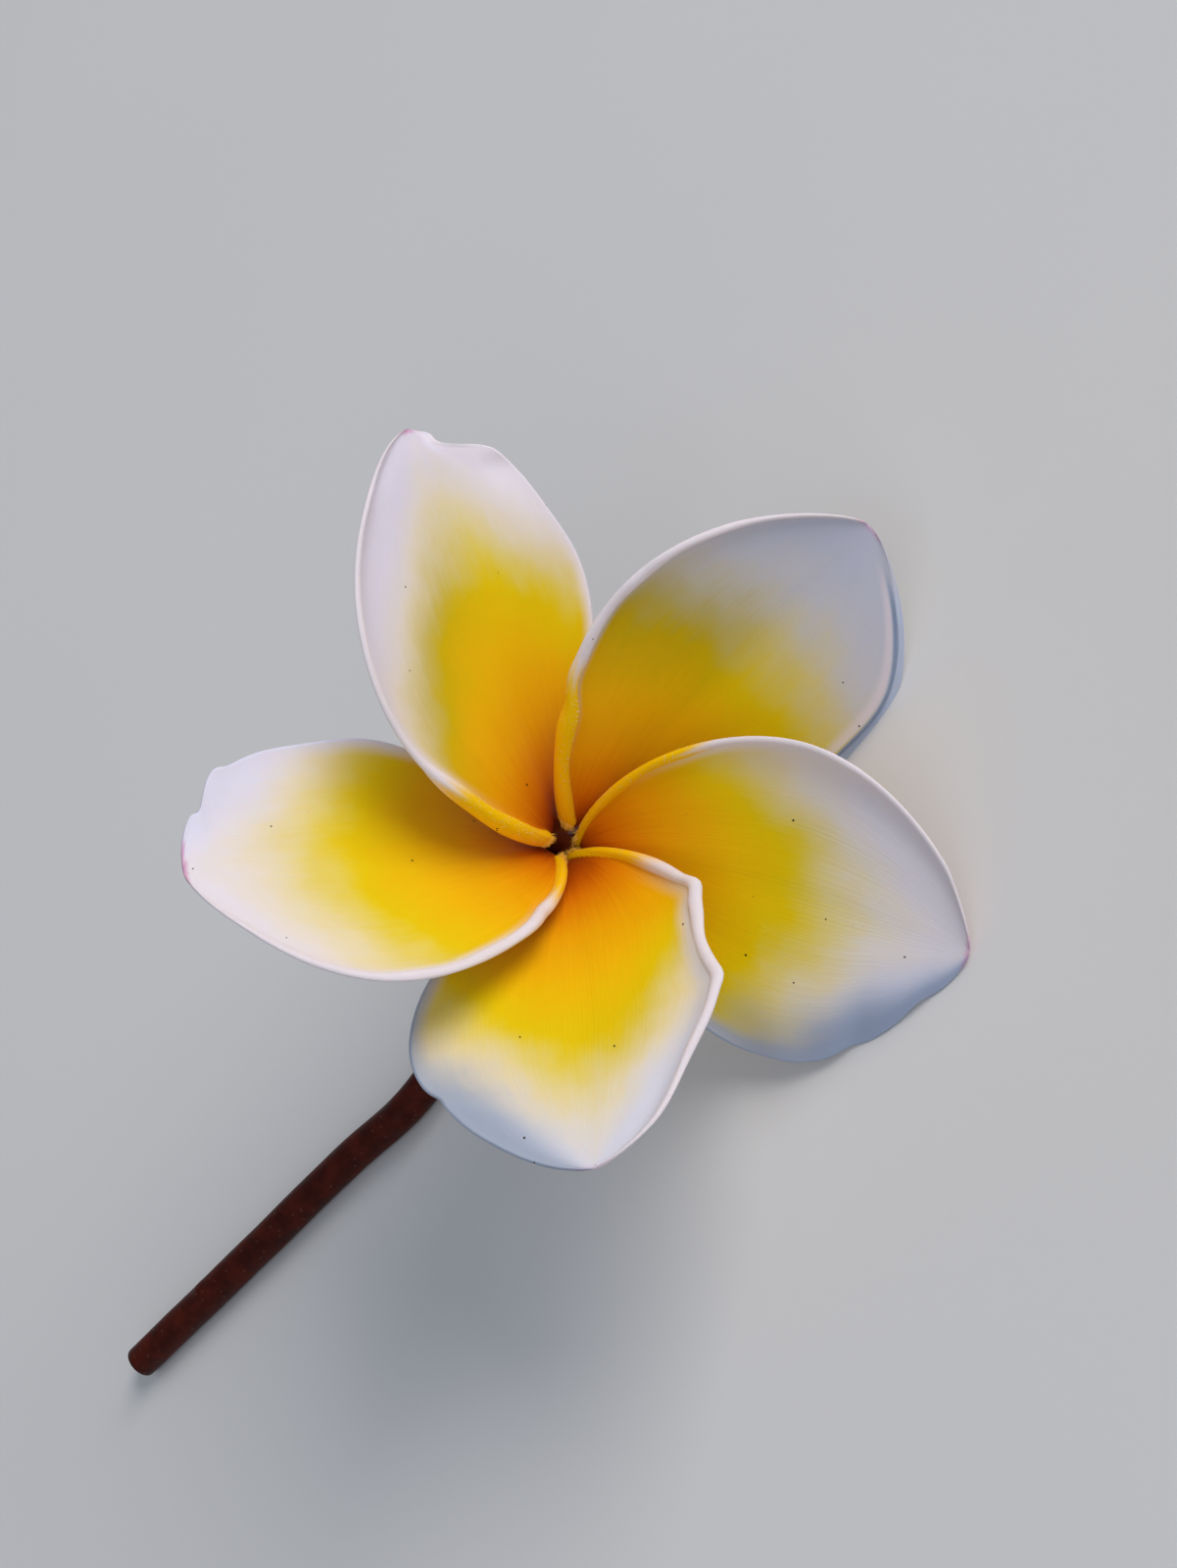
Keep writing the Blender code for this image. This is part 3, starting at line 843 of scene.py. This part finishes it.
for number, (name, heart) in enumerate(HEARTS.items()):
    finished = petal_finish(name, heart, PETALS[name], 11.0 * number)
    petals[name].data.materials.append(finished)
    print(finished.name, len(finished.node_tree.nodes), "nodes")

# %% [markdown]
# ## The tube and the throat
#
# Under the petals the corolla is a slim tube. The solid one stops just short of them.
# The fine one runs on up and opens in a small collar between their feet, so that no gap
# shows. Inside it is a deep hole, whose orange is painted brighter deeper down as painted
# light, since little light reaches there. Five soft ridges run along it, which a Screw
# modifier can't make, so its rings are drawn one by one.

# %% The tube, as rings with ridges
def ringed_mesh(name, rings):
    """Joins rings of points into one closed skin. The first and last are capped."""
    count = len(rings[0])
    faces = []
    for ring in range(len(rings) - 1):
        here = ring * count + np.arange(count)
        after = ring * count + (np.arange(count) + 1) % count
        faces += np.stack([here, after, after + count, here + count], axis=1).tolist()
    faces.append(list(range(count))[::-1])
    faces.append([(len(rings) - 1) * count + number for number in range(count)])
    mesh = bpy.data.meshes.new(name)
    mesh.from_pydata(np.concatenate(rings).tolist(), [], faces)
    mesh.shade_smooth()
    return mesh


SIDES = 60
TUBE_WALL = 0.4
FLOOR_THICKNESS = 0.5
COLLAR = ((1.15, 2.25), (1.7, 2.45), (2.3, 2.75), (2.8, 3.02))
COLLAR_WALL = 0.2
RIDGE = 0.06
RIDGE_WAY = math.radians(48.0)
OUTSIDE, LIP, MOUTH, FLOOR = 1.0, 1.1, 1.2, 2.1
around = np.linspace(0.0, 2.0 * math.pi, SIDES, endpoint=False)
tube_rings = []
tube_levels = []


def add_tube_ring(height, radius, ridge, level):
    """One ring of the tube, and the level that tells its outside from its inside."""
    wide = radius + ridge * np.cos(5.0 * (around - RIDGE_WAY))
    ring = np.stack([wide * np.cos(around), wide * np.sin(around), np.full(SIDES, height)], axis=1)
    tube_rings.append(place(ring))
    tube_levels.append(level)


tube_length = COLLAR[0][0] - TUBE_BOTTOM
bore_floor = TUBE_BOTTOM + FLOOR_THICKNESS
add_tube_ring(TUBE_BOTTOM, 0.5, 0.0, 0.0)
for part in np.linspace(0.0, 0.97, 30):
    add_tube_ring(TUBE_BOTTOM + tube_length * part, tube_radius(part), RIDGE * part, part)
for ring_height, radius in COLLAR:
    add_tube_ring(ring_height, radius, RIDGE, OUTSIDE + 0.08 * smoothstep((ring_height - 1.6) / 0.8))
for ring_height, radius in COLLAR[::-1]:
    add_tube_ring(ring_height + 0.02, radius - COLLAR_WALL, RIDGE, LIP)
for part in np.linspace(0.97, 0.0, 26):
    ring_height = bore_floor + (tube_length - FLOOR_THICKNESS) * part
    depth = FLOOR - (FLOOR - MOUTH) * part
    add_tube_ring(ring_height, tube_radius(part) - TUBE_WALL, 0.5 * RIDGE * part, depth)
add_tube_ring(bore_floor, 0.4, 0.0, FLOOR)
tube_mesh = ringed_mesh("corolla_tube_fine", tube_rings)
add_numbers(tube_mesh, "level", np.repeat(tube_levels, SIDES))

# %% [markdown]
# The level that each ring carries tells the pale outside from the orange inside, which is painted brighter
# deep down as painted light.

# %% The tube's finish
tube = Finish("tube_finish", IOR=1.42, Sheen_Weight=0.2, Specular_IOR_Level=0.35)
level = tube.number("level")
lines = tube.noise(tube.place(), 900.0, 3.0)
up_tube = tube.step(level + (lines - 0.5) * 0.2, 0.0, 0.9)
outside = tube.mix(up_tube, srgb(206, 196, 128), srgb(236, 206, 120))
# Painted light: deeper in the tube the orange is brighter than at the collar's lip.
inside_painted_light = tube.mix(tube.step(level, 1.10, 1.40), srgb(150, 66, 0), srgb(228, 122, 14))
tube.feed("Base Color", tube.mix(tube.step(level, 1.02, 1.06), outside, inside_painted_light))
tube.feel(lines, 0.45, 0.6, strength=0.3, distance=0.0001)
add_piece(tube_mesh, "corolla_tube", "corolla_tube").data.materials.append(tube.material)

# %% [markdown]
# ## Fine hairs
#
# The golden fingers begin in a fringe of hairs up to three quarters of a millimetre
# long, and much shorter down covers the rims. Particles are not part of a mesh, so each
# hair is a thin three-sided spike, set on the petal with a fixed random seed.

# %% A spike for each hair
def spikes(roots, ways, lengths, thick):
    """Three-sided spikes as points and faces, in millimetres of the upright flower."""
    ways = ways / np.linalg.norm(ways, axis=1, keepdims=True)
    helper = np.where(np.abs(ways[:, 2:3]) < 0.9, [[0.0, 0.0, 1.0]], [[1.0, 0.0, 0.0]])
    first = np.cross(ways, helper)
    first /= np.linalg.norm(first, axis=1, keepdims=True)
    second = np.cross(ways, first)
    corners = []
    for angle in (0.0, 2.0 * math.pi / 3.0, 4.0 * math.pi / 3.0):
        corners.append(roots + thick * (math.cos(angle) * first + math.sin(angle) * second))
    corners.append(roots + ways * lengths[:, None])
    base = np.arange(len(roots))[:, None] * 4
    sides = [[0, 1, 3], [1, 2, 3], [2, 0, 3], [0, 2, 1]]
    faces = np.concatenate([base + side for side in sides])
    return np.stack(corners, axis=1).reshape(-1, 3), faces


# %% [markdown]
# They stand on the cord, lean every way a little, and point back at its blunt end.

# %% Hairs on fingers and rims
ON_CORD = 1.7
MESSINESS = 0.45
BACKWARD = 1.2
END_LENGTH = 0.03
random = np.random.default_rng(7)


def fringe(name, share_from, share_to, count, longest, thick):
    """Hairs on the cord of one petal, between two shares of its length."""
    face, normals, to_left = surfaces[name]
    radius = cord_radius(PETALS[name])[:, None]
    row_in = (along[:, None] >= share_from) & (along[:, None] <= share_to)
    spots = np.flatnonzero((row_in & (to_left < ON_CORD * radius)).ravel())
    chosen = random.choice(spots, count)
    ways = normals.reshape(-1, 3)[chosen] + MESSINESS * random.normal(size=(count, 3))
    tangents = np.gradient(face, axis=0).reshape(-1, 3)[chosen]
    tangents /= np.linalg.norm(tangents, axis=1, keepdims=True) + 1e-9
    row = chosen // to_left.shape[1]
    at_end = smoothstep((share_from + END_LENGTH - along[row]) / END_LENGTH)[:, None]
    ways = ways - BACKWARD * at_end * tangents
    return spikes(face.reshape(-1, 3)[chosen], ways, longest * random.uniform(0.5, 1.0, count), thick)


hair_points = []
hair_faces = []
for name, petal in PETALS.items():
    starts = petal["starts"]
    for part in (
        fringe(name, starts, starts + 0.026, 130, 0.75, 0.040),
        fringe(name, starts + 0.02, 0.30, 140, 0.20, 0.016),
        fringe(name, 0.28, 0.97, 420, 0.18, 0.016),
    ):
        hair_faces += (part[1] + sum(len(points) for points in hair_points)).tolist()
        hair_points.append(part[0])
hair_points = np.concatenate(hair_points)
hair_mesh = bpy.data.meshes.new("petal_down")
hair_mesh.from_pydata(place(hair_points).tolist(), [], hair_faces)
add_numbers(hair_mesh, "from_throat", np.linalg.norm(hair_points, axis=1))
print(len(hair_points) // 4, "hairs")

# %% [markdown]
# The hairs are golden near the throat and white further out, like the edge under them.

# %% The hairs' finish
down = Finish("down_finish", Sheen_Weight=0.3, Roughness=0.6)
hair_shade = down.noise(down.place(), 800.0)
outward = down.step(down.number("from_throat") + (hair_shade - 0.5) * 2.0, 7.0, 13.0)
down.feed("Base Color", down.mix(outward, srgb(255, 208, 70), srgb(242, 234, 236)))
add_piece(hair_mesh, "petal_face").data.materials.append(down.material)

# %% [markdown]
# ## The calyx
#
# The calyx is a small green cup with five blunt lobes round the tube's foot. The lobes
# need rings that rise and fall, so its outline is carried round like the tube's, up
# outside and down inside.

# %% The calyx
CLEARANCE = 0.3
CALYX_FLOOR = TUBE_BOTTOM - CLEARANCE - 0.4
CALYX_RADIUS = 2.65
CALYX_HEIGHT = 2.6
LOBE_RISE = 0.55
LOBE_PINCH = 0.06
CALYX_OUTLINE = (
    (0.30, 0.0), (0.62, 0.0), (0.86, 0.02), (0.97, 0.10), (1.01, 0.25), (1.03, 0.5), (1.02, 0.75),
    (0.99, 0.93), (0.96, 1.0), (0.90, 1.01), (0.86, 0.95), (0.86, 0.6), (0.84, 0.3), (0.74, 0.17),
    (0.3, 0.16),
)


def calyx_ring(wide, share):
    risen = min(max(share, 0.0), 1.0)
    radius = CALYX_RADIUS * wide - LOBE_PINCH * (1.0 - np.cos(5.0 * around)) * risen
    height = CALYX_FLOOR + CALYX_HEIGHT * share + LOBE_RISE * risen**3 * np.cos(5.0 * around)
    return place(np.stack([radius * np.cos(around), radius * np.sin(around), height], axis=1))


calyx_mesh = ringed_mesh("calyx_fine", [calyx_ring(wide, share) for wide, share in CALYX_OUTLINE])


def grainy_finish(name, colour, other, scale, detail, smooth, rough, distance, **constants):
    """Two colours mottled together, with a roughness and bumps to match."""
    finish = Finish(name, **constants)
    mottle = finish.noise(finish.place(), scale, detail)
    finish.feed("Base Color", finish.mix(finish.step(mottle, 0.35, 0.65), colour, other))
    finish.feel(mottle, smooth, rough, strength=0.3, distance=distance)
    return finish.material


green = grainy_finish(
    "calyx_finish", srgb(92, 98, 38), srgb(112, 62, 44), 700.0, 4.0, 0.4, 0.6, 0.0002,
    IOR=1.45, Sheen_Weight=0.15,
)
add_piece(calyx_mesh, "calyx", "calyx").data.materials.append(green)

# %% [markdown]
# ## The stalk
#
# The stalk is dark red-brown, with faint scars where buds have dropped. A curve object
# is made as in the solid, read for its middle line, and thrown away, because the stalk
# needs its own rings: they swell at the scars and narrow at the neck.

# %% The stalk's middle line
STALK_RADIUS = 2.05
NECK_LENGTH = 4.0
STALK_ROUTE = ((-22.5, -10.5), (-30.0, -21.9), (-43.3, -31.4), (-59.0, -42.8), (-75.5, -54.6))


def stalk_line():
    """Points along the stalk's middle, in metres."""
    axis = -turn[:, 2]
    start = throat + turn[:, 2] * (CALYX_FLOOR - CLEARANCE)
    route = [np.array((throat[0] + x, throat[1] + y, STALK_RADIUS)) for x, y in STALK_ROUTE]
    curve = bpy.data.curves.new("route", "CURVE")
    curve.dimensions = "3D"
    curve.resolution_u = 40
    spline = curve.splines.new("BEZIER")
    spline.bezier_points.add(len(route))
    for point, spot in zip(spline.bezier_points, [start, *route]):
        point.co = Vector(spot * MM)
        point.handle_left_type = point.handle_right_type = "AUTO"
    first = spline.bezier_points[0]
    first.handle_left_type = first.handle_right_type = "FREE"
    first.handle_left = Vector((start - axis * NECK_LENGTH) * MM)
    first.handle_right = Vector((start + axis * NECK_LENGTH) * MM)
    for point in spline.bezier_points[1:]:
        point.handle_left_type = point.handle_right_type = "FREE"
        point.handle_left.z = point.handle_right.z = STALK_RADIUS * MM
    holder = bpy.data.objects.new("route", curve)
    bpy.context.scene.collection.objects.link(holder)
    bpy.context.view_layer.update()
    points = np.array([tuple(vertex.co) for vertex in holder.to_mesh().vertices])
    holder.to_mesh_clear()
    bpy.data.objects.remove(holder, do_unlink=True)
    return points


stalk_points = stalk_line()
stalk_reach = np.concatenate([[0.0], np.cumsum(np.linalg.norm(np.diff(stalk_points, axis=0), axis=1))]) / MM
stalk_length = float(stalk_reach[-1])
print("stalk is", round(stalk_length, 1), "mm long")

# %% [markdown]
# Each scar is a small bump on one side. Both ends are drawn in a little for a soft edge.

# %% The stalk's rings
STALK_SIDES = 40
STALK_NECK = 0.66
NECK_REACH = 9.0
STALK_UNEVENNESS = 0.02
SCARS = ((16.0, 0.6), (33.0, 2.4), (52.0, 4.6), (69.0, 1.5))
SCAR_HEIGHT = 0.28
SCAR_LENGTH = 0.9
SCAR_ANGLE = 0.55
CALYX_END = 0.55
CUT_END = 0.62
JUST_ABOVE_TABLE = 0.00002
stalk_around = np.linspace(0.0, 2.0 * math.pi, STALK_SIDES, endpoint=False)


def stalk_radius(reach):
    """The stalk's radius round one ring, with its scars and slow unevenness."""
    neck = STALK_NECK + (1.0 - STALK_NECK) * smoothstep(reach / NECK_REACH)
    radius = STALK_RADIUS * neck * np.ones(STALK_SIDES)
    radius += STALK_UNEVENNESS * (np.sin(reach * 0.5 + 1.5 * np.cos(stalk_around)) - 1.0)
    for where, facing in SCARS:
        bud = np.exp(-(((reach - where) / SCAR_LENGTH) ** 2))
        turned_to = np.exp(-((np.angle(np.exp(1j * (stalk_around - facing))) / SCAR_ANGLE) ** 2))
        above = 0.35 + 0.65 * (np.sin(facing) > -0.2)
        radius += SCAR_HEIGHT * bud * turned_to * above
    return radius


def stalk_ring(centre, way, radius):
    side = np.cross(way, (0.0, 0.0, 1.0))
    side /= np.linalg.norm(side)
    over = np.cross(side, way)
    across = np.cos(stalk_around)[:, None] * side + np.sin(stalk_around)[:, None] * over
    ring = centre + MM * radius[:, None] * across
    ring[:, 2] = np.maximum(ring[:, 2], JUST_ABOVE_TABLE)
    return ring[::-1]


headings = np.gradient(stalk_points, axis=0)
headings /= np.linalg.norm(headings, axis=1, keepdims=True)
along_stalk = [
    (centre, way, stalk_radius(reach)) for centre, way, reach in zip(stalk_points, headings, stalk_reach)
]
first_ring, last_ring = along_stalk[0], along_stalk[-1]
along_stalk.insert(0, (*first_ring[:2], first_ring[2] * CALYX_END))
along_stalk.append((*last_ring[:2], last_ring[2] * CUT_END))
stalk_mesh = ringed_mesh("flower_stalk_fine", [stalk_ring(*ring) for ring in along_stalk])
reaches = np.concatenate([[0.0], stalk_reach, [stalk_length + 1.0]])
add_numbers(stalk_mesh, "reach", np.repeat(reaches, STALK_SIDES))

# %% [markdown]
# The skin is mottled, with fine pores, and greener by the calyx. The cut end is pale.

# %% The stalk's finish
stalk = Finish("stalk_finish", IOR=1.45, Specular_IOR_Level=0.14)
reach = stalk.number("reach")
bark = stalk.noise(stalk.place(), 420.0, 5.0, 0.6)
grain = stalk.noise(stalk.place(), 2600.0, 2.0)
skin = stalk.mix(stalk.step(bark, 0.3, 0.7), srgb(56, 16, 6), srgb(84, 26, 12))
skin = stalk.mix(stalk.step(reach, 10.0, 0.0), skin, srgb(98, 70, 38))
pore = stalk.add("ShaderNodeTexVoronoi", None, {"Vector": stalk.place(), "Scale": 900.0}, out="Distance")
skin = stalk.mix(stalk.step(pore, 0.10, 0.20, 0.55, 0.0), skin, srgb(104, 62, 48))
cut = stalk.step(reach, stalk_length + 0.05, stalk_length + 0.3)
stalk.feed("Base Color", stalk.mix(cut, skin, srgb(196, 184, 132)))
stalk.feed("Roughness", stalk.step(bark, 0.3, 0.7, 0.38, 0.55))
stalk.feed("Normal", stalk.bump(bark * 1.0 + grain * 0.3, 0.35, 0.0003))
add_piece(stalk_mesh, "flower_stalk", "flower_stalk").data.materials.append(stalk.material)

# %% [markdown]
# ## Stamens and pistil
#
# Five stamens and the pistil stand deep in the tube. Their solids have the right shape,
# so they stay, and only get a finish.

# %% Finish for the parts inside the tube
inner_finishes = {}
for kind, colour, other in (
    ("pistil", srgb(150, 160, 84), srgb(176, 178, 96)),
    ("stamen", srgb(214, 168, 70), srgb(190, 132, 40)),
):
    inner_finishes[kind] = grainy_finish(
        kind + "_finish", colour, other, 3000.0, 3.0, 0.5, 0.7, 0.00005, IOR=1.42, Sheen_Weight=0.1
    )
for name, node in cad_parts.items():
    kind = name.split("_")[0]
    if kind in inner_finishes:
        node.data.materials.clear()
        node.data.materials.append(inner_finishes[kind])
        print(name, "painted")

# %% [markdown]
# ## Table and light
#
# The table is plain, pale and matt, and wide enough that its edge is never close by. A
# large even square would look dead, so a faint blotch varies it.

# %% The table
TABLE_REACH = 20
table_corners = [(TABLE_REACH * x, TABLE_REACH * y, 0) for x, y in ((-1, -1), (1, -1), (1, 1), (-1, 1))]
table_mesh = bpy.data.meshes.new("table_top")
table_mesh.from_pydata(table_corners, [], [(0, 1, 2, 3)])
table_top = bpy.data.objects.new("table_top", table_mesh)
bpy.context.scene.collection.objects.link(table_top)
table = Finish("table_finish", Specular_IOR_Level=0.0)
blotch = table.noise(table.place(), 6.0, 2.0)
table.feed("Base Color", table.mix(blotch, srgb(230, 228, 225), srgb(238, 236, 233)))
table.feed("Roughness", table.step(blotch, 0.3, 0.7, 0.7, 0.8))
table_mesh.materials.append(table.material)

# %% [markdown]
# One large soft light stands low beyond the flower and makes the shadows. A weaker,
# bluer one stands behind the eye, and a dim sky, lighter round the horizon, fills the
# rest, so the white goes from pinkish in the light to grey-blue in the shade.

# %% Lights
def soft_light(name, direction, distance, size, power, colour):
    data = bpy.data.lights.new(name, "AREA")
    data.shape = "DISK"
    data.size = size
    data.energy = power
    data.color = colour
    lamp = bpy.data.objects.new(name, data)
    way = Vector(direction).normalized()
    lamp.location = Vector(throat) * MM + way * distance
    lamp.rotation_euler = way.to_track_quat("Z", "Y").to_euler()
    lamp.visible_camera = False
    bpy.context.scene.collection.objects.link(lamp)
    print(name, "stands", round(math.degrees(math.asin(way.z))), "deg above the table")


overhead = np.array((0.0, 0.0, 1.0))
key_way = 0.78 * up + 0.60 * back + 0.22 * right + 0.10 * overhead
fill_way = 0.9 * back - 0.2 * up - 0.3 * right
soft_light("key_light", key_way, distance=3.0, size=2.2, power=60.0, colour=(1.0, 0.955, 0.94))
soft_light("fill_light", fill_way, distance=3.0, size=2.4, power=13.0, colour=(0.88, 0.92, 1.0))

# %% Sky
HORIZON = (0.40, 0.42, 0.45, 1.0)
HIGH_SKY = (0.18, 0.21, 0.255, 1.0)
HIGH_FROM = 0.30
world = bpy.data.worlds.new("studio")
bpy.context.scene.world = world
world.use_nodes = True
sky = world.node_tree
sky_way = sky.nodes.new("ShaderNodeTexCoord")
sky_parts = sky.nodes.new("ShaderNodeSeparateXYZ")
ramp = sky.nodes.new("ShaderNodeValToRGB")
horizon_stop, high_stop = ramp.color_ramp.elements
horizon_stop.color = HORIZON
high_stop.position = HIGH_FROM
high_stop.color = HIGH_SKY
sky.links.new(sky_way.outputs["Generated"], sky_parts.inputs[0])
sky.links.new(sky_parts.outputs["Z"], ramp.inputs["Fac"])
sky.links.new(ramp.outputs["Color"], sky.nodes["Background"].inputs["Color"])
sky.nodes["Background"].inputs["Strength"].default_value = 1.0
bpy.context.scene.view_settings.view_transform = "Standard"
